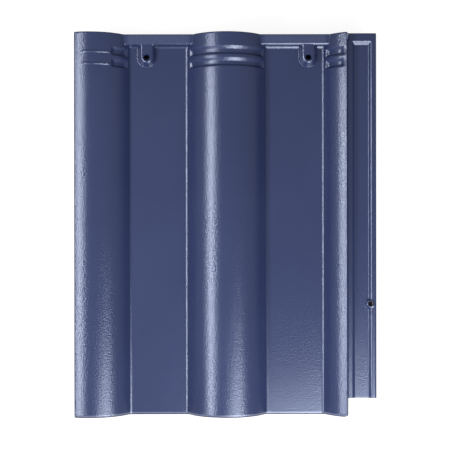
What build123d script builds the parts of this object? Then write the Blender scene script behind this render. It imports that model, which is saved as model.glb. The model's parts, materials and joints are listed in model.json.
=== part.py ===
"""Wave roof tile, one moulded concrete piece.

Seen from above: head at +Y, tail at -Y, covered side lap on the right at +X.
Z is up, and the feet under the tile stand at Z = 0. All sizes are in millimetres.
"""

import os
from math import atan2, degrees, sqrt

from build123d import *

# Plan of the tile
tile_length = 424
tile_width = 333
roll_pitch = 152
first_roll = 15.6
lip_edge = 299.6
lip_foot = 301.9

# Heights over the floor
foot_height = 10
thickness = 12
roll_rise = 27
pan_top = foot_height + thickness
crest_top = pan_top + roll_rise

# How far cutters reach past what they cut, and how deep added pieces sink in
reach = 50
sink = 1

# The rolls are round arches: a wide one outside, a narrower one inside
roll_half = 44
hollow_half = 42
left_foot_round = 3
right_foot_round = 3
tail_round = 3.2

# Side lap channel on the right, which stops short of the tail
lap_bank = pan_top + 14.5
lap_floor = pan_top + 11.3
lap_under = pan_top + 6.3
lap_round = 1.2
lap_ledge_end = 306.4
lap_floor_start = 309.2
lap_floor_end = 325
lap_rim_start = 328.2
lap_short = 20

# Hanging rib of the left edge, which drops into the next tile's channel
hook_start = 7.5
hook_end = 13.5
hook_bottom = lap_floor + 1.7
cover_under = lap_bank + 1.8
cover_width = 31.4
edge_round = 1

# Raised strip across the head of both pans, and the stop at the head of the channel
strip_rise = 9.5
strip_length = 11.6
strip_slope = 1
strip_step = 0.7
strip_round = 3
strip_foot_round = 4
strip_reach = 8
stop_length = 8.8
stop_slope = 3.9
notch_start = 2.2
notch_length = 6.1
notch_width = 1.9
notch_depth = 0.8

# Nail holes, each in a tongue that hangs from the head strip
nail_radius = 2.9
nail_sink_radius = 4.1
nail_from_head = 25.2
nail_places = (78.4, 258.7)
tongue_land = 6.3
tongue_foot = 10.8
tongue_rise = strip_rise - strip_step
side_hole_radius = 3.3
side_boss_land = 4.7
side_boss_foot = 5.9
side_boss_rise = lap_bank - lap_floor + 0.5
side_hole_place = 327
side_hole_from_head = 299.5

# Two grooves across the head of every roll: start, foot of the slope, end of the floor, end
grooves = ((15.3, 19, 23, 25.2), (28.4, 32.2, 35.9, 38))
groove_depth = 2.4
groove_half = 41.6
groove_shelf_rise = 1.5
groove_shelf_width = 4.2
left_groove_start = 41
right_groove_end = 296.2

# Two low ribs beside the grooves of the left roll
rib_places = (22.2, 35.3)
rib_start = 10
rib_end = 40.2
rib_head_foot = 1.5
rib_head_ridge = 0.7
rib_tail_ridge = 0.3
rib_tail_foot = 1.2
rib_rise = 0.9

# Feet and weather bars under the tile
nib_start = 3
nib_depth = 15
nib_width = 42
nib_slope = 4
nib_chamfer = 2
bar_width = 6
bar_places = (8, 26)
bar_gap = 1.5
bar_end = 291

half_length = tile_length / 2
roll_centres = [first_roll + roll_pitch * i for i in range(3)]
roll_radius = (roll_half**2 + roll_rise**2) / (2 * roll_rise)
roll_axis = crest_top - roll_radius
hollow_radius = (hollow_half**2 + roll_rise**2) / (2 * roll_rise)
hollow_axis = crest_top - thickness - hollow_radius
lift = thickness + foot_height
bar_axis = roll_axis - lift
bar_radius = roll_radius + bar_gap
pan_spans = [
    (roll_centres[0] + roll_half, roll_centres[1] - roll_half),
    (roll_centres[1] + roll_half, roll_centres[2] - roll_half),
]


def across(distance):
    """Place across the tile, from a distance that is measured from the left edge."""
    return distance - tile_width / 2


def from_head(distance):
    """Cross plane at a distance from the head: its normal points to the tail."""
    return Plane.XZ.offset(distance - half_length)


def roll_height(distance, centre):
    """Height of the outer arch over the floor at a distance from the left edge."""
    return roll_axis + sqrt(roll_radius**2 - (distance - centre) ** 2)


def hollow_height(distance, centre):
    """Height of the hollow's arch over the floor at a distance from the left edge."""
    return hollow_axis + sqrt(hollow_radius**2 - (distance - centre) ** 2)


def arch(start, end, centre, height):
    """Points at the start, the middle and the end of one arch of the outline."""
    middle = (start + end) / 2
    return [(across(x), height(x, centre)) for x in (start, middle, end)]


left_top = roll_height(0, roll_centres[0])
lip_top = roll_height(lip_edge, roll_centres[2])

# Everything under the top surface, down to the floor
with BuildSketch() as filled:
    with BuildLine() as top_line:
        Line((across(0), 0), (across(0), left_top))
        ThreePointArc(*arch(0, pan_spans[0][0], roll_centres[0], roll_height))
        Line((across(pan_spans[0][0]), pan_top), (across(pan_spans[0][1]), pan_top))
        ThreePointArc(
            *arch(pan_spans[0][1], pan_spans[1][0], roll_centres[1], roll_height)
        )
        Line((across(pan_spans[1][0]), pan_top), (across(pan_spans[1][1]), pan_top))
        ThreePointArc(*arch(pan_spans[1][1], lip_edge, roll_centres[2], roll_height))
        Polyline(
            (across(lip_edge), lip_top),
            (across(lip_foot), lap_bank),
            (across(lap_ledge_end), lap_bank),
            (across(lap_floor_start), lap_floor),
            (across(lap_floor_end), lap_floor),
            (across(lap_rim_start), lap_bank),
            (across(tile_width), lap_bank),
            (across(tile_width), 0),
            (across(0), 0),
        )
    make_face()
    pan_corners = filled.vertices().filter_by_position(Axis.Y, pan_top - 0.1, pan_top + 0.1)
    pan_corners = pan_corners.sort_by(Axis.X)
    fillet([pan_corners[0], pan_corners[2]], radius=right_foot_round)
    fillet([pan_corners[1], pan_corners[3]], radius=left_foot_round)
    lap_corners = filled.vertices().filter_by_position(Axis.Y, lap_floor - 0.1, lap_bank + 0.1)
    fillet(lap_corners, radius=lap_round)
    edge_corners = filled.vertices().filter_by_position(Axis.Y, lip_top - 0.1, left_top + 0.1)
    fillet(edge_corners, radius=edge_round)

# The hollow under the tile, with the rib of the left edge left standing
with BuildSketch() as hollow:
    with Locations((0, foot_height / 2)):
        Rectangle(tile_width + 2 * reach, foot_height)
    for centre in roll_centres[:2]:
        with Locations((across(centre), hollow_axis)):
            Circle(hollow_radius)
    with BuildLine():
        lap_arch_end = roll_centres[2] - sqrt(hollow_radius**2 - (lap_under - hollow_axis) ** 2)
        lap_arch = arch(
            roll_centres[2] - hollow_half, lap_arch_end, roll_centres[2], hollow_height
        )
        ThreePointArc(*lap_arch)
        Polyline(
            lap_arch[-1],
            (across(tile_width + reach), lap_under),
            (across(tile_width + reach), 0),
            (lap_arch[0][0], 0),
            lap_arch[0],
        )
    make_face()
    with Locations((across(-reach), 0)):
        Rectangle(cover_width + reach, cover_under, align=(Align.MIN, Align.MIN))
    with Locations((across((hook_start + hook_end) / 2), hook_bottom)):
        Rectangle(
            hook_end - hook_start,
            thickness,
            align=(Align.CENTER, Align.MIN),
            mode=Mode.SUBTRACT,
        )

# Section of the weather bars, which fill the hollows down to the head of the tile below
with BuildSketch() as bar_section:
    add(hollow.sketch)
    offset(amount=sink)
    for centre in roll_centres:
        with Locations((across(centre), bar_axis)):
            Circle(bar_radius, mode=Mode.SUBTRACT)
    with Locations((across(cover_width), 0)):
        Rectangle(
            bar_end - cover_width,
            crest_top,
            align=(Align.MIN, Align.MIN),
            mode=Mode.INTERSECT,
        )


def head_grooves(centre, start, end):
    """Both grooves across one roll, from one distance from the left edge to another."""
    window_top = crest_top + sink
    left, right = across(centre - groove_half), across(centre + groove_half)
    shelf = roll_height(centre - groove_half, centre)
    shelf_edge = shelf + groove_shelf_rise
    with BuildPart() as cutter:
        with BuildSketch(Plane.YZ.offset(across(centre))):
            for top_start, floor_start, floor_end, top_end in grooves:
                with BuildLine():
                    Polyline(
                        (half_length - top_start, window_top),
                        (half_length - top_start, crest_top),
                        (half_length - floor_start, crest_top - groove_depth),
                        (half_length - floor_end, crest_top - groove_depth),
                        (half_length - top_end, crest_top),
                        (half_length - top_end, window_top),
                        (half_length - top_start, window_top),
                    )
                make_face()
        revolve(axis=Axis((across(centre), 0, roll_axis), (0, 1, 0)))
        with BuildSketch(from_head(0)):
            with BuildLine():
                Polyline(
                    (left, window_top),
                    (left, shelf),
                    (left + groove_shelf_width, shelf_edge),
                    (right - groove_shelf_width, shelf_edge),
                    (right, shelf),
                    (right, window_top),
                    (left, window_top),
                )
            make_face()
            with Locations((across(start), 0)):
                Rectangle(
                    end - start,
                    window_top,
                    align=(Align.MIN, Align.MIN),
                    mode=Mode.INTERSECT,
                )
        extrude(amount=grooves[-1][-1] + sink, mode=Mode.INTERSECT)
    return cutter.part


def strip_section(span):
    """Raised section over one pan: it climbs a little up the roll on each side."""
    strip_top = pan_top + strip_rise
    width = span[1] - span[0]
    with BuildSketch() as section:
        add(filled.sketch)
        with Locations((across(span[0] - strip_reach), 0)):
            Rectangle(
                width + 2 * strip_reach, strip_top, align=(Align.MIN, Align.MIN)
            )
        corners = section.vertices().filter_by_position(
            Axis.Y, strip_top - 0.1, strip_top + 0.1
        )
        fillet(corners, radius=strip_round)
        with Locations((across(span[0] - strip_reach), pan_top - sink)):
            Rectangle(
                width + 2 * strip_reach,
                roll_rise,
                align=(Align.MIN, Align.MIN),
                mode=Mode.INTERSECT,
            )
    return section.sketch


def slope_profile():
    """Side profile of the strip's tail side: a small step, a steep slope, a hollow foot."""
    step_top = pan_top + strip_rise - strip_step
    foot = strip_length + strip_slope
    with BuildSketch() as profile:
        with BuildLine():
            Polyline(
                (half_length - sink, pan_top - sink),
                (half_length - sink, step_top),
                (half_length - strip_length, step_top),
                (half_length - foot, pan_top),
                (half_length - foot - 2 * strip_foot_round, pan_top),
                (half_length - foot - 2 * strip_foot_round, pan_top - sink),
                (half_length - sink, pan_top - sink),
            )
        make_face()
        corner = profile.vertices().sort_by_distance((half_length - foot, pan_top))[0]
        fillet(corner, radius=strip_foot_round)
    return profile.sketch


def low_ribs(centre, start, end):
    """Two low ribs across one roll, from one distance from the left edge to another."""
    with BuildPart() as ribs:
        with BuildSketch(Plane.YZ.offset(across(centre))):
            for place in rib_places:
                ridge = half_length - place
                with BuildLine():
                    Polyline(
                        (ridge + rib_head_foot, crest_top - sink),
                        (ridge + rib_head_foot, crest_top),
                        (ridge + rib_head_ridge, crest_top + rib_rise),
                        (ridge - rib_tail_ridge, crest_top + rib_rise),
                        (ridge - rib_tail_foot, crest_top),
                        (ridge - rib_tail_foot, crest_top - sink),
                        (ridge + rib_head_foot, crest_top - sink),
                    )
                make_face()
        revolve(axis=Axis((across(centre), 0, roll_axis), (0, 1, 0)))
        with BuildSketch(from_head(0)):
            with Locations((across(start), 0)):
                Rectangle(end - start, crest_top + reach, align=(Align.MIN, Align.MIN))
        extrude(amount=rib_places[-1] + 2 * rib_tail_foot, mode=Mode.INTERSECT)
    return ribs.part


left, middle, right = roll_centres
left_ribs = low_ribs(left, rib_start, rib_end)
left_grooves = head_grooves(left, left_groove_start, left + reach)
middle_grooves = head_grooves(middle, middle - reach, middle + reach)
right_grooves = head_grooves(right, right - reach, right_groove_end)
strip_sections = [strip_section(span) for span in pan_spans]
strip_slope_profile = slope_profile()

with BuildPart() as tile:
    # The wave, solid down to the floor, with the lap channel cut off short of the tail
    with BuildSketch(from_head(0)):
        add(filled.sketch)
    extrude(amount=tile_length)
    with BuildSketch(from_head(tile_length - lap_short)):
        with Locations((across(lip_foot), 0)):
            Rectangle(reach, crest_top, align=(Align.MIN, Align.MIN))
    extrude(amount=2 * lap_short, mode=Mode.SUBTRACT)

    # The upper edge of the tail is rounded over
    tail_face = tile.faces().sort_by(Axis.Y)[0]
    tail_edges = tail_face.edges().filter_by(lambda edge: edge.center().Z > pan_top - 0.5)
    tail_edges = tail_edges.filter_by(lambda edge: abs(edge.tangent_at(0.5).Z) < 0.99)
    fillet(tail_edges, radius=tail_round)

    # The underside is hollowed, and the weather bars are left standing near the tail
    with BuildSketch(from_head(0)):
        add(hollow.sketch)
    extrude(amount=tile_length, mode=Mode.SUBTRACT)
    for place in bar_places:
        with BuildSketch(from_head(tile_length - place - bar_width)):
            add(bar_section.sketch)
        extrude(amount=bar_width)

    # Head strip: a level part, a small step, then a slope down to the pan
    for span, section in zip(pan_spans, strip_sections):
        with BuildSketch(from_head(0)):
            add(section)
        extrude(amount=strip_length)
        with BuildSketch(Plane.YZ.offset(across(span[0] - strip_reach))):
            add(strip_slope_profile)
        extrude(amount=span[1] - span[0] + 2 * strip_reach)

    # The stop at the head of the lap channel, and the small notch beside the lip there
    with BuildSketch(Plane.YZ.offset(across(lap_ledge_end))):
        with BuildLine():
            Polyline(
                (half_length, lap_floor - sink),
                (half_length, lap_bank),
                (half_length - stop_length, lap_bank),
                (half_length - stop_length - stop_slope, lap_floor),
                (half_length - stop_length - stop_slope, lap_floor - sink),
                (half_length, lap_floor - sink),
            )
        make_face()
    extrude(amount=lap_rim_start - lap_ledge_end)
    with BuildSketch(from_head(notch_start)):
        with BuildLine():
            Polyline(
                (across(lip_foot), lap_bank - notch_depth),
                (across(lip_foot + notch_width), lap_bank),
                (across(lip_foot + notch_width), lap_bank + sink),
                (across(lip_foot), lap_bank + sink),
                (across(lip_foot), lap_bank - notch_depth),
            )
        make_face()
    extrude(amount=notch_length, mode=Mode.SUBTRACT)

    # Nail tongues: a level land with sloping sides, hung from the head strip
    draft = degrees(atan2(tongue_foot - tongue_land, tongue_rise))
    for place in nail_places:
        with BuildSketch(Plane.XY.offset(pan_top)):
            with Locations((across(place), half_length - nail_from_head)):
                Circle(tongue_foot)
                Rectangle(
                    2 * tongue_foot,
                    nail_from_head - 0.4 * strip_length,
                    align=(Align.CENTER, Align.MIN),
                )
        extrude(amount=tongue_rise, taper=draft)

    # A round boss at the outer side of the channel
    boss_draft = degrees(atan2(side_boss_foot - side_boss_land, side_boss_rise))
    with BuildSketch(Plane.XY.offset(lap_floor)):
        with Locations((across(side_hole_place), half_length - side_hole_from_head)):
            Circle(side_boss_foot)
    extrude(amount=side_boss_rise, taper=boss_draft)

    # Grooves across the rolls near the head
    for cutter in (left_grooves, middle_grooves, right_grooves):
        add(cutter, mode=Mode.SUBTRACT)

    # Two low ribs on the left roll, beside its grooves
    add(left_ribs)

    # Nail holes through the tongues, and a hole through the boss
    for place in nail_places:
        land = Plane.XY.offset(pan_top + tongue_rise)
        with Locations(land.location * Pos(across(place), half_length - nail_from_head)):
            CounterSinkHole(nail_radius, nail_sink_radius, depth=2 * thickness)
    boss_top = Plane.XY.offset(lap_floor + side_boss_rise)
    side_spot = Pos(across(side_hole_place), half_length - side_hole_from_head)
    with Locations(boss_top.location * side_spot):
        Hole(side_hole_radius, depth=2 * thickness)

    # Batten nibs under the pans
    for span in pan_spans:
        with BuildSketch(Plane.YZ.offset(across((span[0] + span[1]) / 2))):
            with BuildLine():
                Polyline(
                    (half_length - nib_start, foot_height),
                    (half_length - nib_start - nib_slope, 0),
                    (half_length - nib_start - nib_depth, 0),
                    (half_length - nib_start - nib_depth, foot_height),
                    (half_length - nib_start, foot_height),
                )
            make_face()
        extrude(amount=nib_width / 2, both=True)
    nib_ends = tile.edges().filter_by(Axis.Y).filter_by_position(Axis.Z, -0.1, 0.1)
    nib_ends = nib_ends.group_by(Axis.Y)[-1]
    chamfer(nib_ends, length=nib_chamfer)

tile.part.label = "roof_tile"
os.makedirs("parts", exist_ok=True)
export_step(tile.part, "parts/roof_tile.step")
print("volume", round(tile.part.volume), "box", tile.part.bounding_box())
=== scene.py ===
# %% [markdown]
# # Wave roof tile
# A roof tile of moulded concrete with two whole rolls and a half roll beside the side lap. It is
# coated dark blue on its upper side, and its underside is bare. The solid of the tile comes
# packed, in metres, and is loaded first: everything below is set against it.

# %% Load the solid
import json
import math

import bmesh
import bpy
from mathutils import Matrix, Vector


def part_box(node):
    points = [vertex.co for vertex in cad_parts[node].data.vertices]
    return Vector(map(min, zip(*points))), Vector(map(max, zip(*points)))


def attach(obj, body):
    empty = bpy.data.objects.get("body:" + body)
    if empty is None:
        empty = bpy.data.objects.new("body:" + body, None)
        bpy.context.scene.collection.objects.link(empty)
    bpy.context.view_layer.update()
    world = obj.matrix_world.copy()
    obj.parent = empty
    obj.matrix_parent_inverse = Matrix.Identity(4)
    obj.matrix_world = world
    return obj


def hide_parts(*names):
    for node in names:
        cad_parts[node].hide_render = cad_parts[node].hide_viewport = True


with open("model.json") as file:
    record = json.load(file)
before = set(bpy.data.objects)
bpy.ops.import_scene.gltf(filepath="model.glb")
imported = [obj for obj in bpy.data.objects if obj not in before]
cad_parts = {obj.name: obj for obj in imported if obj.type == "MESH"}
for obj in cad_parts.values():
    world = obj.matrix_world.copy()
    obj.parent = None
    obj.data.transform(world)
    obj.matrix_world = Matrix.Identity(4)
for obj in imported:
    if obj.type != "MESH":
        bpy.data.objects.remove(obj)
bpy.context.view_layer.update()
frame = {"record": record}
mm = 0.001
low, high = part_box("roof_tile")
tile_width = (high.x - low.x) / mm
tile_length = (high.y - low.y) / mm
print("solid", round(tile_width, 1), "by", round(tile_length, 1), "mm")

# %% [markdown]
# ## The shape of the upper side
# The solid is made for contact and weight, and its round rolls are cut into flats that would
# break a long highlight. So the visible tile is a finer sheet over the same section. Places
# across are measured in millimetres from the left edge, and places along from the head, as a
# tiler measures them. The rolls are arches of one circle each, standing on flat pans.

# %% Sizes of the section
foot_height = 10
thickness = 12
roll_rise = 27
roll_half = 44
hollow_half = 42
pan_top = foot_height + thickness
crest_top = pan_top + roll_rise
roll_pitch = 152
first_roll = 15.6
roll_centres = [first_roll + roll_pitch * i for i in range(3)]
roll_radius = (roll_half**2 + roll_rise**2) / (2 * roll_rise)
roll_axis = crest_top - roll_radius
foot_reach = 45.7
foot_slope = 0.42
pans = [
    (roll_centres[0] + roll_half, roll_centres[1] - roll_half),
    (roll_centres[1] + roll_half, roll_centres[2] - roll_half),
]
print("roll radius", round(roll_radius, 1), "mm, pans", pans)

# %% Sizes of the side lap
lip_edge = 299.6
lip_foot = 301.9
lap_bank = pan_top + 14.5
lap_floor = pan_top + 11.3
lap_under = pan_top + 6.3
lap_ledge_end = 306.4
lap_floor_start = 309.2
lap_floor_end = 324.2
lap_rim_start = 328
lap_foot_bevel = 0.9
lap_rim_bevel = 1.3
lap_bevel_slope = 0.56
lap_short = 20
lap_cut = tile_length - lap_short


# %% [markdown]
# Most forms of the upper side are profiles or round arches. Small helpers give the height at a
# place on each of them, and how far a rounded edge falls off.


# %% Profiles, rounded edges and arches
def along_profile(points, place):
    """Height at a place on a line through the points, level before and after them."""
    if place <= points[0][0]:
        return points[0][1]
    for (start, start_height), (end, end_height) in zip(points, points[1:]):
        if place < end:
            share = (place - start) / (end - start)
            return start_height + share * (end_height - start_height)
    return points[-1][1]


def round_drop(distance, radius):
    """How far a rounded edge lies under the sharp one, at a distance in from the edge."""
    if distance >= radius:
        return 0
    return radius - math.sqrt(max(radius**2 - (radius - distance) ** 2, 0))


def arch_height(place, centre, radius, axis):
    """Height of a round arch, or a very low value beside it."""
    aside = place - centre
    if abs(aside) >= radius:
        return -math.inf
    return axis + math.sqrt(radius**2 - aside**2)


print("edge of 3 mm radius, 1 mm in:", round(round_drop(1, 3), 2))


# %% [markdown]
# The section of the tile: the rolls stand on a ground, which is the pan or, near the head, a
# raised strip. A small bevel runs along the foot of each roll. After the lip come its wall and
# the sunk side lap. An inset moves the section inwards, which is how the tail's nose is rounded.


# %% Section of the upper side
def lap_points(inset):
    """The lip's wall and the side lap, as a line of points."""
    wall_top = arch_height(lip_edge - inset, roll_centres[2], roll_radius - inset, roll_axis)
    return [
        (lip_edge - inset, wall_top),
        (lip_foot - inset, lap_bank - inset),
        (lap_ledge_end, lap_bank - inset),
        (lap_floor_start, lap_floor - inset),
        (lap_floor_end, lap_floor - inset),
        (lap_floor_end + lap_foot_bevel, lap_floor + lap_foot_bevel * lap_bevel_slope - inset),
        (lap_rim_start - lap_rim_bevel, lap_bank - lap_rim_bevel * lap_bevel_slope - inset),
        (lap_rim_start, lap_bank - inset),
    ]


def section_height(place, inset, ground):
    """Height of the rolls over a ground, and of the side lap."""
    if place > lip_edge - inset:
        return along_profile(lap_points(inset), place)
    height = ground - inset
    for centre in roll_centres:
        arch = arch_height(place, centre, roll_radius - inset, roll_axis)
        bevel = pan_top - inset + (foot_reach - abs(place - centre)) * foot_slope
        height = max(height, arch, bevel)
    return height


print("crest", section_height(first_roll, 0, pan_top), "pan", section_height(90, 0, pan_top))

# %% [markdown]
# ## Details at the head
# Across the head of both pans runs a raised strip that stops the rain from being blown under
# the tile above. Its top leans a little to the tail, its edge is bevelled and its foot is
# hollow. A tongue with a nail hole hangs from it in each pan. The strip is one profile for the
# whole row, and each tongue is a profile that falls with the distance from its middle.

# %% Sizes of the strip and the tongues
strip_rise = 9.5
strip_end = 11.8
strip_crease = math.sqrt(roll_radius**2 - (pan_top + strip_rise - roll_axis) ** 2)
strip_profile = (
    (0, pan_top + strip_rise + 0.5),
    (10, pan_top + strip_rise - 0.5),
    (strip_end, pan_top + strip_rise - 1.7),
    (12.1, pan_top + 1.7),
    (13, pan_top + 1),
    (13.9, pan_top + 0.45),
    (14.9, pan_top),
)
land_top = pan_top + 8.3
tongue_lift = 0.5
tongue_profile = (
    (5.2, land_top),
    (7, land_top - 1),
    (7.5, land_top - 1.6),
    (10.1, pan_top + 0.2),
    (10.6, pan_top),
)
mounts = {mount["name"]: mount for mount in frame["record"]["mounts"]}
nails = [mounts["nail_hole_left"], mounts["nail_hole_right"]]
nail_places = [
    ((nail["pos_m"][0] - low.x) / mm, (high.y - nail["pos_m"][1]) / mm) for nail in nails
]
print("nail holes, across and along:", [[round(v, 1) for v in p] for p in nail_places])


# %% Height of the strip and the tongues
def ground_height(place, along):
    """Height of the ground between the rolls: pan, head strip and tongues."""
    height = along_profile(strip_profile, along)
    for nail_place, nail_along in nail_places:
        past_hole = max(along - nail_along + tongue_lift, 0)
        reach = math.hypot(place - nail_place, past_hole)
        height = max(height, along_profile(tongue_profile, reach))
    return height


print("tongue's land", ground_height(nail_places[0][0], 20), "mm up")

# %% [markdown]
# Two shallow grooves cross the head of each roll, where the tile above is gripped when tiles
# are stacked. They are pressed into the arch to an even depth and stop at a small shelf on each
# side. On the left roll they only cross the right flank, and two low ribs go on from them. On
# the right roll they end short of the lip in a flatter ramp.

# %% Sizes of the grooves and ribs
grooves = ((15.3, 19.0, 23.0, 25.2), (28.4, 32.2, 35.9, 38.0))
groove_depth = 2.4
groove_half = 41.6
groove_shelf_rise = 1.5
groove_shelf_width = 4.2
left_groove_start = 41
right_groove_end = 296.2
ramp_start = 291.4
ramp_slope = 0.5
rib_places = (22.2, 35.3)
rib_start = 10
rib_end = 40.2
rib_rise = 0.9
rib_steps = (-1.5, -0.7, -0.3, 1.2)
groove_profile = []
for top_start, floor_start, floor_end, top_end in grooves:
    groove_profile += [(top_start, 0), (floor_start, groove_depth)]
    groove_profile += [(floor_end, groove_depth), (top_end, 0)]
rib_profile = []
for rib_place in rib_places:
    start, ridge_start, ridge_end, end = (rib_place + step for step in rib_steps)
    rib_profile += [(start, 0), (ridge_start, rib_rise), (ridge_end, rib_rise), (end, 0)]
shelf_height = arch_height(groove_half, 0, roll_radius, roll_axis)
print("grooves end", round(shelf_height - pan_top, 1), "mm over the pan")


# %% Height of the grooves and ribs
def grooved_height(place, along, height):
    """The height after the grooves are pressed in and the ribs are added."""
    depth = along_profile(groove_profile, along)
    if depth > 0:
        for centre in roll_centres:
            aside = abs(place - centre)
            on_left = centre == roll_centres[0] and place < left_groove_start
            on_right = centre == roll_centres[2] and place > right_groove_end
            if aside < groove_half and not on_left and not on_right:
                floor = arch_height(aside, 0, roll_radius - depth, roll_axis)
                if centre == roll_centres[2] and place > ramp_start:
                    floor = arch_height(ramp_start, centre, roll_radius - depth, roll_axis)
                    floor += (place - ramp_start) * ramp_slope
                shelf_share = min((groove_half - aside) / groove_shelf_width, 1)
                shelf = shelf_height + shelf_share * groove_shelf_rise
                height = min(height, max(floor, shelf))
    rise = along_profile(rib_profile, along)
    if rise > 0 and rib_start < place < rib_end:
        height = arch_height(place, roll_centres[0], roll_radius + rise, roll_axis)
    return height


# %% [markdown]
# The channel of the side lap ends at the head in a level stop with a sloped tail side. A little
# notch and a lug lie beside the lip there. Nearer to the tail stands a low round boss, and a
# hole goes through it.

# %% Height of the stop, the notch, the lug and the boss
stop_length = 8.8
stop_slope = 3.9
stop_profile = ((stop_length, lap_bank), (stop_length + stop_slope, lap_floor))
notch_start = 2.2
notch_length = 6.1
notch_width = 1.9
notch_depth = 0.8
lug_start = 2.6
lug_end = 8.2
lug_width = 1.7
lug_slope = 0.5
lip_top = arch_height(lip_edge, roll_centres[2], roll_radius, roll_axis)
side_hole = mounts["side_hole"]
side_place = (side_hole["pos_m"][0] - low.x) / mm
side_along = (high.y - side_hole["pos_m"][1]) / mm
boss_top = lap_bank + 0.5
boss_profile = ((3.5, boss_top), (5, boss_top - 0.9), (5.8, lap_floor))


def stopped_height(place, along, height):
    """The height of the side lap with its stop, notch, lug and boss."""
    if lap_ledge_end < place < lap_rim_start:
        height = max(height, along_profile(stop_profile, along))
    if place > lap_floor_start:
        reach = math.hypot(place - side_place, along - side_along)
        height = max(height, along_profile(boss_profile, reach))
    beside = (place - lip_foot) / notch_width
    if 0 < beside < 1 and notch_start < along < notch_start + notch_length:
        height -= (1 - beside) * notch_depth
    aside = place - lip_edge
    if 0 < aside < lug_width and lug_start < along < lug_end:
        height = max(height, lip_top + aside * lug_slope)
    return height


# %% [markdown]
# All of it together is one function for the height of the upper side. Each height is the mean
# of a few close by, which rounds every edge a little, as thick paint does. The tail's nose is a
# flat bevel that ends in a short round, given as the inset at a distance from the tail.

# %% Height of the upper side
head_zone = 48
boss_zone = 7
soften = 0.3
edge_round = 1
head_round = 1.6
nose_profile = ((0, 2.3), (0.35, 1.4), (0.8, 0.8), (1.4, 0.35), (3.1, 0))
crease_zone = 2
around = (-soften, 0, soften)


def near_boss(place, along):
    """Whether a place is close to the boss of the side lap."""
    return place > lap_floor_start and abs(along - side_along) < boss_zone


def sharp_top(place, along):
    """Height of the upper side before its edges are softened."""
    inset = along_profile(nose_profile, tile_length - along)
    if along > head_zone:
        height = section_height(place, inset, pan_top)
        return stopped_height(place, along, height) if near_boss(place, along) else height
    ground = ground_height(place, along) if place > roll_centres[0] else pan_top
    height = section_height(place, inset, ground)
    height = grooved_height(place, along, height)
    return stopped_height(place, along, height)


def top_height(place, along):
    """Height of the upper side, with soft edges."""
    detailed = along < head_zone or near_boss(place, along)
    along_offsets = around if detailed else (0,)
    aside = min(abs(place - centre) for centre in roll_centres)
    creased = along < strip_end and abs(aside - strip_crease) < crease_zone
    heights = []
    for sideways in (0,) if creased else around:
        for ahead in along_offsets:
            near_place = min(max(place + sideways, 0), tile_width)
            heights.append(sharp_top(near_place, max(along + ahead, 0)))
    height = sum(heights) / len(heights)
    height -= round_drop(along, head_round)
    height -= round_drop(place, edge_round)
    height -= round_drop(tile_width - place, edge_round)
    if place > lip_foot:
        height -= round_drop(max(lap_cut - along, 0), edge_round)
    return height


print("strip", round(top_height(90, 5), 2), "channel", round(top_height(318, 200), 2))

# %% [markdown]
# ## The shape of the underside
# Nothing of the underside shows in the picture, so it follows what such tiles have. Under each
# roll is a hollow, two nibs near the head hook over the batten, two weather bars near the tail
# bear on the tile below, and a rib hangs under the left edge into the neighbour's channel.

# %% Sizes of the underside
hollow_radius = (hollow_half**2 + roll_rise**2) / (2 * roll_rise)
hollow_axis = crest_top - thickness - hollow_radius
hook_start = 7.5
hook_end = 13.5
hook_bottom = lap_floor + 1.7
cover_under = lap_bank + 1.8
cover_width = 31.4
nib_start = 3
nib_depth = 15
nib_slope = 4
nib_half = 21
nib_chamfer = 2
nib_end = nib_start + nib_depth
nib_profile = ((nib_start, foot_height), (nib_start + nib_slope, 0))
bar_width = 6
bar_starts = [tile_length - place - bar_width for place in (8, 26)]
bar_end = 291
bar_radius = roll_radius + 1.5
bar_axis = roll_axis - thickness - foot_height


# %% Height of the underside
def hollow_height(place):
    """Height of the hollowed underside without nibs and bars."""
    arches = [arch_height(place, centre, hollow_radius, hollow_axis) for centre in roll_centres]
    if place > roll_centres[2] - hollow_half:
        return max(min(arches[2], lap_under) if place < lip_foot else lap_under, foot_height)
    height = max(arches[0], arches[1], foot_height)
    if place < cover_width:
        height = max(height, cover_under)
    if hook_start < place < hook_end:
        height = hook_bottom
    return height


def under_height(place, along):
    """Height of the underside."""
    height = hollow_height(place)
    if nib_start < along < nib_end:
        for pan in pans:
            aside = nib_half - abs(place - sum(pan) / 2)
            if aside > 0:
                end_cut = max(nib_chamfer - aside, 0)
                height = max(along_profile(nib_profile, along), end_cut)
    if cover_width < place < bar_end:
        for start in bar_starts:
            if start < along < start + bar_width:
                below = [arch_height(place, c, bar_radius, bar_axis) for c in roll_centres]
                height = min(height, max(0, *below))
    return height


print("under a crest", round(under_height(roll_centres[1], 200), 1))

# %% [markdown]
# ## The sheet
# Both sides are grids that share their lines. The lines lie close where the shape bends and far
# apart where it is straight. A step in the underside gets a line just before and just after it.


# %% Where the lines lie
def spread(start, end, step):
    """Even places from start to end, about a step apart."""
    count = max(round((end - start) / step), 1)
    return [start + (end - start) * i / count for i in range(count + 1)]


def pairs(*places):
    """A place just before and just after each step."""
    gap = 0.1
    return [place + side for place in places for side in (-gap, gap)]


def tidy_lines(places, end):
    """Sorted lines from 0 to the end, without those that nearly coincide."""
    closest = 0.12
    kept = [0]
    for place in sorted(places):
        if place - kept[-1] > closest and end - place > closest:
            kept.append(place)
    return kept + [end]


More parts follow.
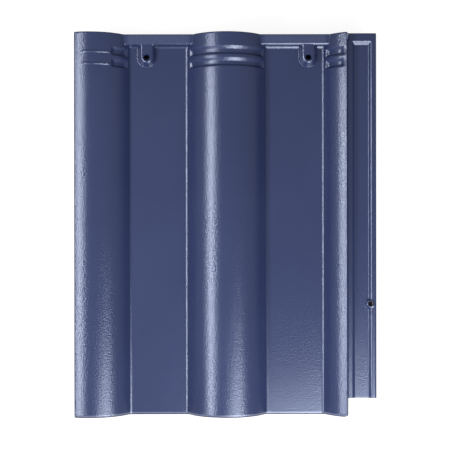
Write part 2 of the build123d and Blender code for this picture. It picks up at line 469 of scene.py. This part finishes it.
# %% Lines across the tile
edge_lines = [0.12, 0.3, 0.55, 0.85, 1.2, 1.7]
across_lines = edge_lines + [tile_width - v for v in edge_lines]
for centre in roll_centres:
    for side in (-1, 1):
        across_lines += [centre + side * v for v in spread(roll_half - 1.5, foot_reach + 1, 0.35)]
        across_lines += [centre + side * v for v in spread(roll_half - 3, roll_half - 1.5, 0.6)]
        across_lines += [centre + side * v for v in spread(36.4, roll_half - 3, 0.8)]
    across_lines += [centre + v for v in spread(-36.4, 36.4, 2.2)]
    across_lines += pairs(centre - strip_crease, centre + strip_crease)
across_lines = [v for v in across_lines if 0 < v < lip_edge - 1]
for nail_place, _ in nail_places:
    across_lines += [nail_place + v for v in spread(-12.6, 12.6, 0.6)]
for pan in pans:
    across_lines += spread(pan[0] + 4, pan[1] - 4, 8)
across_lines += spread(lip_edge - 0.9, lip_foot + 0.9, 0.3)
across_lines += pairs(lip_edge, lip_edge + lug_width)
across_lines += spread(lip_foot + 1.2, lap_ledge_end - 0.6, 1.2)
across_lines += spread(lap_ledge_end - 0.6, lap_floor_start + 0.6, 0.45)
across_lines += spread(lap_floor_start + 1, side_place - boss_zone, 3)
across_lines += spread(side_place - boss_zone, lap_floor_end - 0.6, 0.5)
across_lines += spread(lap_floor_end - 0.6, lap_rim_start + 0.6, 0.3)
across_lines += spread(lap_rim_start + 1, tile_width - 1.7, 0.5)
across_lines += pairs(hook_start, hook_end, cover_width, bar_end, rib_start, rib_end)
across_lines += pairs(left_groove_start, ramp_start, right_groove_end)
across_lines += pairs(roll_centres[2] - hollow_half)
across_lines = tidy_lines(across_lines, tile_width)
print(len(across_lines), "lines across")

# %% Lines along the tile
nose_lines = [0.15, 0.35, 0.55, 0.8, 1.1, 1.4, 1.8, 2.2, 2.8, 3.1, 3.4, 5]
along_lines = edge_lines + [0.5, 2.6, 4, 5.5, 7, nib_start + nib_slope]
along_lines += pairs(notch_start, notch_start + notch_length, nib_start, nib_end)
along_lines += pairs(lug_start, lug_end)
along_lines += spread(stop_length - 0.6, 16, 0.36)
along_lines += spread(16, 39, 0.6)
along_lines += [41, 42, 43.5, 46, 50]
along_lines += spread(60, side_along - boss_zone, 40)
along_lines += spread(side_along - boss_zone, side_along + boss_zone, 0.7)
along_lines += spread(side_along + boss_zone, 380, 30)
along_lines += [lap_cut - v for v in edge_lines] + [lap_cut, lap_cut + 0.3]
for start in bar_starts:
    along_lines += pairs(start, start + bar_width)
along_lines += [tile_length - v for v in nose_lines]
along_lines = tidy_lines(along_lines, tile_length)
if lap_cut not in along_lines:
    along_lines = sorted([v for v in along_lines if abs(v - lap_cut) > 0.15] + [lap_cut])
print(len(along_lines), "lines along")

# %% [markdown]
# A flat grid is moved onto the lines, the corner that the side lap leaves free at the tail is
# cut away, and the grid is extruded once. The new sheet is lifted to the upper side, the first
# becomes the underside, and the extrusion has made the walls between them.

# %% Make the sheet
columns, rows = len(across_lines) - 1, len(along_lines) - 1
bm = bmesh.new()
bmesh.ops.create_grid(bm, x_segments=columns, y_segments=rows, size=0.5)
for vert in bm.verts:
    column = round((vert.co.x + 0.5) * columns)
    row = round((0.5 - vert.co.y) * rows)
    vert.co = (across_lines[column], along_lines[row], 0)
cut_away = [
    face
    for face in bm.faces
    if face.calc_center_median().x > lip_foot and face.calc_center_median().y > lap_cut
]
bmesh.ops.delete(bm, geom=cut_away, context="FACES")
bare = bm.verts.layers.float.new("bare")
flat_sheet = list(bm.verts) + list(bm.edges) + list(bm.faces)
raised = bmesh.ops.extrude_face_region(bm, geom=flat_sheet, use_keep_orig=True)
top_verts = {item for item in raised["geom"] if isinstance(item, bmesh.types.BMVert)}
under_verts = [vert for vert in bm.verts if vert not in top_verts]
for vert in under_verts:
    vert.co.z = under_height(vert.co.x, vert.co.y)
    vert[bare] = 1
for vert in top_verts:
    vert.co.z = top_height(vert.co.x, vert.co.y)
    vert[bare] = 0
for vert in bm.verts:
    vert.co = (low.x + vert.co.x * mm, high.y - vert.co.y * mm, vert.co.z * mm)
bmesh.ops.recalc_face_normals(bm, faces=list(bm.faces))
for face in bm.faces:
    face.smooth = True
tile_mesh = bpy.data.meshes.new("coated_tile")
bm.to_mesh(tile_mesh)
bm.free()
tile = bpy.data.objects.new("coated_tile", tile_mesh)
bpy.context.scene.collection.objects.link(tile)
print(len(tile_mesh.polygons), "faces")

# %% [markdown]
# The holes are cut with lathed plugs. A nail hole has a shallow cone at its mouth, and the hole
# of the side lap is plain. Each plug is a short profile, spun once around.


# %% Cut the holes
def lathe(bm, profile, centre):
    """Spins a profile of (radius, height) points round an upright axis and closes its ends."""
    steps = 48
    x, y = centre
    verts = [bm.verts.new((x + radius * mm, y, height * mm)) for radius, height in profile]
    edges = [bm.edges.new(pair) for pair in zip(verts, verts[1:])]
    bmesh.ops.spin(
        bm,
        geom=verts + edges,
        cent=(x, y, 0),
        axis=(0, 0, 1),
        angle=math.tau,
        steps=steps,
        use_merge=True,
    )
    rims = [edge for edge in bm.edges if edge.is_boundary]
    bmesh.ops.holes_fill(bm, edges=rims, sides=steps)


sink_radius = 4.1
sink_angle = math.radians(41)
plug_low, plug_high = -5, crest_top + 5
bm = bmesh.new()
for nail in nails:
    bore = nail["dims"]["r_mm"]
    sink_depth = (sink_radius - bore) / math.tan(sink_angle)
    plug = [(bore, plug_low), (bore, land_top - sink_depth), (sink_radius, land_top)]
    lathe(bm, plug + [(sink_radius, plug_high)], nail["pos_m"][:2])
bore = side_hole["dims"]["r_mm"]
lathe(bm, [(bore, plug_low), (bore, plug_high)], side_hole["pos_m"][:2])
bmesh.ops.recalc_face_normals(bm, faces=list(bm.faces))
plug_mesh = bpy.data.meshes.new("plugs")
bm.to_mesh(plug_mesh)
bm.free()
plugs = bpy.data.objects.new("plugs", plug_mesh)
bpy.context.scene.collection.objects.link(plugs)
cut = tile.modifiers.new("holes", "BOOLEAN")
cut.operation = "DIFFERENCE"
cut.solver = "EXACT"
cut.object = plugs
bpy.context.view_layer.update()
drilled = tile.evaluated_get(bpy.context.evaluated_depsgraph_get())
drilled_mesh = bpy.data.meshes.new_from_object(drilled)
tile.modifiers.clear()
tile.data = drilled_mesh
bpy.data.objects.remove(plugs)
drilled_mesh.set_sharp_from_angle(angle=math.radians(40))
bare_marks = drilled_mesh.attributes["bare"].data
for vert in drilled_mesh.vertices:
    beside = min(math.dist(vert.co.xy, hole["pos_m"][:2]) for hole in nails + [side_hole])
    if beside < sink_radius * mm and vert.co.z > pan_top * mm:
        bare_marks[vert.index].value = 0
print(len(drilled_mesh.polygons), "faces after drilling")

# %% [markdown]
# ## Finishes
# Shader maths reads better as sums. This small class wraps one socket, so that plus, minus and
# times add the Math node they stand for, and a sheet of nodes makes any other node in one call.


# %% Shader maths
class Value:
    """One output socket, used like a number."""

    def __init__(self, nodes, socket):
        self.nodes = nodes
        self.socket = socket

    def maths(self, operation, first, second):
        return self.nodes.add("ShaderNodeMath", {"operation": operation}, {0: first, 1: second})

    def __add__(self, other):
        return self.maths("ADD", self, other)

    def __sub__(self, other):
        return self.maths("SUBTRACT", self, other)

    def __rsub__(self, other):
        return self.maths("SUBTRACT", other, self)

    def __mul__(self, other):
        return self.maths("MULTIPLY", self, other)

    __radd__ = __add__
    __rmul__ = __mul__


class Nodes:
    """The nodes of one material or world."""

    def __init__(self, owner):
        owner.use_nodes = True
        self.tree = owner.node_tree
        self.tree.nodes.clear()

    def add(self, kind, settings=None, inputs=None, output=0):
        """Adds a node, with its settings first and then its inputs, and returns an output."""
        node = self.tree.nodes.new(kind)
        for name, setting in (settings or {}).items():
            setattr(node, name, setting)
        for name, given in (inputs or {}).items():
            if isinstance(given, Value):
                self.tree.links.new(given.socket, node.inputs[name])
            else:
                node.inputs[name].default_value = given
        return Value(self, node.outputs[output]) if node.outputs else node

    def noise(self, place, scale, detail=2.0, roughness=0.5):
        """Cloudy noise, from 0 to 1."""
        inputs = {"Vector": place, "Scale": scale, "Detail": detail, "Roughness": roughness}
        return self.add("ShaderNodeTexNoise", {}, inputs)

    def between(self, value, start, end, low=0.0, high=1.0):
        """Maps start..end to low..high, held at both ends."""
        inputs = {
            "Value": value,
            "From Min": start,
            "From Max": end,
            "To Min": low,
            "To Max": high,
        }
        return self.add("ShaderNodeMapRange", {"clamp": True}, inputs)

    def inside(self, value, start, end, edge):
        """1 from start to end and 0 outside, with a soft edge."""
        rising = self.between(value, start - edge, start + edge)
        return rising - self.between(value, end - edge, end + edge)

    def parts(self, place):
        """The three numbers of a place."""
        sockets = self.add("ShaderNodeSeparateXYZ", {}, {0: place}).socket.node.outputs
        return [Value(self, socket) for socket in sockets]

    def blend(self, share, first, second):
        """Mixes two colours."""
        inputs = {"Factor": share, "A": first, "B": second}
        return self.add("ShaderNodeMix", {"data_type": "RGBA"}, inputs, output=2)


print("helpers ready")

# %% [markdown]
# The coating is a satin acrylic over coarse concrete. Its colour is nearly even, and it is paler
# on the top of the head strip. A pale line along the bevel of the tail is a painted highlight.
# What makes it look like a tile is a fine stipple a millimetre or two wide, which breaks up the
# highlights. It is coarser on the rolls than in the pans. Under the tile the concrete stays bare
# and grey, with a ragged line where the spray ended.

# %% Colours and places of the coating
coat_blue = (0.026, 0.037, 0.1, 1)
coat_dark = (0.023, 0.033, 0.092, 1)
coat_pale = (0.05, 0.063, 0.135, 1)
# painted highlight: colour of the pale line along the tail's nose
nose_highlight_colour = (0.14, 0.155, 0.225, 1)
concrete_light = (0.36, 0.35, 0.33, 1)
concrete_dark = (0.24, 0.235, 0.225, 1)
coat_tint = (0.74, 0.82, 1.0, 1)
stipple_scale = 600.0
stipple_depth = 0.2 * mm
stipple_in_pans = 0.9
stipple_on_rolls = 1.45
pan_stipple_top = 27
roll_stipple_start = 38
strip_top_end = 11.4
strip_top_low = 30.8
strip_top_high = 33
strip_fade = 2
# where the painted highlight along the tail's nose lies, in mm from the tail
nose_highlight_start = 1.5
nose_highlight_end = 2.9
print("stipple", round(1 / stipple_scale / mm, 1), "mm wide")

# %% Coated concrete
coating = bpy.data.materials.new("coated_concrete")
nodes = Nodes(coating)
place = nodes.add("ShaderNodeTexCoord", output=3)
grain = nodes.noise(place, stipple_scale, 2.0, 0.6)
cloud = nodes.noise(place, 14.0, 3.0)
bare_share = nodes.add("ShaderNodeAttribute", {"attribute_name": "bare"}, output=2)
spray_edge = nodes.between(bare_share + (nodes.noise(place, 160.0, 3.0) - 0.5) * 0.5, 0.55, 0.7)
coat = nodes.blend(nodes.between(cloud, 0.35, 0.65), coat_blue, coat_dark)
across_tile, along_tile, above_floor = nodes.parts(place)
# the top of the head strip, in the pans, is painted paler
on_strip = nodes.between(along_tile, high.y - strip_end * mm, high.y - strip_top_end * mm)
strip_top = nodes.inside(above_floor, strip_top_low * mm, strip_top_high * mm, 0.2 * mm)
in_pan = 0
for start, end in pans:
    start, end = (low.x + value * mm for value in (start - strip_fade, end + strip_fade))
    in_pan = nodes.inside(across_tile, start, end, strip_fade * mm) + in_pan
pale_share = on_strip * strip_top * in_pan * nodes.between(grain, 0.3, 0.6, 0.5, 1.0)
coat = nodes.blend(pale_share, coat, coat_pale)
# painted highlight: a pale, stippled line along the bevel of the tail's nose
on_nose_highlight = nodes.inside(along_tile, low.y + nose_highlight_start * mm, low.y + nose_highlight_end * mm, 0.4 * mm)
coat = nodes.blend(on_nose_highlight * nodes.between(grain, 0.25, 0.6, 0.5, 1.0), coat, nose_highlight_colour)
pores = nodes.noise(place, 420.0, 4.0, 0.65)
concrete = nodes.blend(nodes.between(pores, 0.35, 0.7), concrete_dark, concrete_light)
colour = nodes.blend(spray_edge, coat, concrete)
coat_roughness = nodes.between(grain, 0.3, 0.7, 0.2, 0.25)
roughness = coat_roughness + spray_edge * 0.5
stipple_share = nodes.between(
    above_floor,
    pan_stipple_top * mm,
    roll_stipple_start * mm,
    stipple_in_pans,
    stipple_on_rolls,
)
relief = grain * stipple_share + spray_edge * pores
bump_inputs = {"Strength": 1.0, "Distance": stipple_depth, "Height": relief}
bump = nodes.add("ShaderNodeBump", {}, bump_inputs)
surface = nodes.add(
    "ShaderNodeBsdfPrincipled",
    {},
    {
        "Base Color": colour,
        "Roughness": roughness,
        "Normal": bump,
        "IOR": 1.5,
        "Specular IOR Level": 1.0,
        "Specular Tint": coat_tint,
    },
)
nodes.add("ShaderNodeOutputMaterial", {}, {"Surface": surface})
tile.data.materials.clear()
tile.data.materials.append(coating)
print("coating made")

# %% Give the sheet to the tile
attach(tile, "root")
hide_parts("roof_tile")

# %% [markdown]
# ## Floor, light and camera
# The tile is seen from straight above, on white. The floor is a wide grey plane with a glow that
# only the camera sees, so that it reads as white, lights the tile little, and still takes the
# tile's shadow. Under the tile it has no glow, and its grey is painted darker there as painted
# shade. Where the camera looks down through the hole of the side lap, a nearly black square of
# painted shade lies on the floor. That spot lies a little farther out than the hole, because the
# camera looks through it at a slant.

# %% Floor
floor_half = 6
floor_gap = 0.0005
floor_grey = (0.35, 0.35, 0.35, 1)
# painted shade: the darker grey of the floor under the tile
under_tile_shade_grey = (0.2, 0.2, 0.2, 1)
# painted shade: the nearly black square seen through the side hole
hole_shade_black = (0.012, 0.012, 0.016, 1)
black = (0, 0, 0, 1)
camera_glow = (0.8, 0.8, 0.8, 1)
bm = bmesh.new()
bmesh.ops.create_grid(bm, x_segments=1, y_segments=1, size=floor_half)
floor_mesh = bpy.data.meshes.new("floor")
bm.to_mesh(floor_mesh)
bm.free()
floor = bpy.data.objects.new("floor", floor_mesh)
floor.location.z = low.z - floor_gap
bpy.context.scene.collection.objects.link(floor)
white = bpy.data.materials.new("pale_floor")
nodes = Nodes(white)
camera_ray = nodes.add("ShaderNodeLightPath")
across_floor, along_floor, _ = nodes.parts(nodes.add("ShaderNodeTexCoord", output=3))
edge = 2 * mm
under_tile = nodes.inside(across_floor, low.x - edge, high.x + edge, edge)
under_tile = under_tile * nodes.inside(along_floor, low.y - edge / 2, high.y + edge, edge)
corner = nodes.inside(across_floor, low.x + lip_foot * mm, high.x + 1, edge)
corner = corner * nodes.inside(along_floor, low.y - 1, low.y + lap_short * mm, edge)
covered = under_tile * (1 - corner)
glow = nodes.blend(camera_ray * (1 - covered), black, camera_glow)
# painted shade: a nearly black square on the floor, under the hole of the side lap
farther_out = 1.03
shade_spot_half = 3.4 * mm
shade_spot_x, shade_spot_y = (farther_out * value for value in side_hole["pos_m"][:2])
spot = nodes.inside(across_floor, shade_spot_x - shade_spot_half, shade_spot_x + shade_spot_half, edge / 2)
spot = spot * nodes.inside(along_floor, shade_spot_y - shade_spot_half, shade_spot_y + shade_spot_half, edge / 2)
# painted shade: the floor under the tile is a darker grey
shaded = nodes.blend(covered, floor_grey, under_tile_shade_grey)
surface = nodes.add(
    "ShaderNodeBsdfPrincipled",
    {},
    {
        "Base Color": nodes.blend(spot, shaded, hole_shade_black),
        "Roughness": 0.9,
        "Specular IOR Level": 0.0,
        "Emission Color": glow,
        "Emission Strength": 1.0,
    },
)
nodes.add("ShaderNodeOutputMaterial", {}, {"Surface": surface})
floor.data.materials.append(white)
print("floor at", round(floor.location.z, 4))

# %% World
room_light = 0.3
seen_white = 1.0
scene = bpy.context.scene
world = bpy.data.worlds.new("studio")
scene.world = world
nodes = Nodes(world)
camera_ray = nodes.add("ShaderNodeLightPath")
strength = nodes.between(camera_ray, 0.0, 1.0, room_light, seen_white)
sky = nodes.add("ShaderNodeBackground", {}, {"Color": (1, 1, 1, 1), "Strength": strength})
nodes.add("ShaderNodeOutputWorld", {}, {"Surface": sky})
print("world light", room_light)

# %% [markdown]
# One long narrow light on the left draws the bright line on each roll. A broad one beyond the
# tail draws the wide glow on the other side of the rolls and in the right pan. Both are aimed at
# the tile.

# %% Lights
def area_light(name, spot, target, across, along, power):
    """A rectangular lamp at a spot, aimed at a target, its long side along the tile."""
    lamp = bpy.data.lights.new(name, "AREA")
    lamp.shape = "RECTANGLE"
    lamp.size = along
    lamp.size_y = across
    lamp.energy = power
    lit = bpy.data.objects.new(name, lamp)
    lit.location = spot
    aim = Vector(target) - Vector(spot)
    lit.rotation_euler = aim.to_track_quat("-Z", "Y").to_euler()
    scene.collection.objects.link(lit)
    print(name, power, "W")


area_light(
    "strip_light",
    spot=(-0.42, -0.03, 0.49),
    target=(1.0, -0.03, 0.03),
    across=0.13,
    along=0.78,
    power=4.4,
)
area_light(
    "fill_light",
    spot=(0.26, -0.45, 0.46),
    target=(0.17, -0.1, 0.03),
    across=0.44,
    along=0.42,
    power=4.8,
)

# %% Camera
picture_size = 450
camera_height = 1.222
focal_pixels = 1072.1
nadir_down = 24.5
roll_angle = math.radians(0.07)
camera_data = bpy.data.cameras.new("camera")
camera_data.sensor_width = 36
camera_data.lens = focal_pixels / picture_size * camera_data.sensor_width
camera_data.shift_y = nadir_down / picture_size
camera_data.clip_start = 0.01
camera = bpy.data.objects.new("camera", camera_data)
camera.location = (-0.001, -0.0273, camera_height)
camera.rotation_euler.z = -roll_angle
scene.collection.objects.link(camera)
scene.camera = camera
scene.view_settings.view_transform = "Standard"
print("camera", tuple(round(v, 3) for v in camera.location))
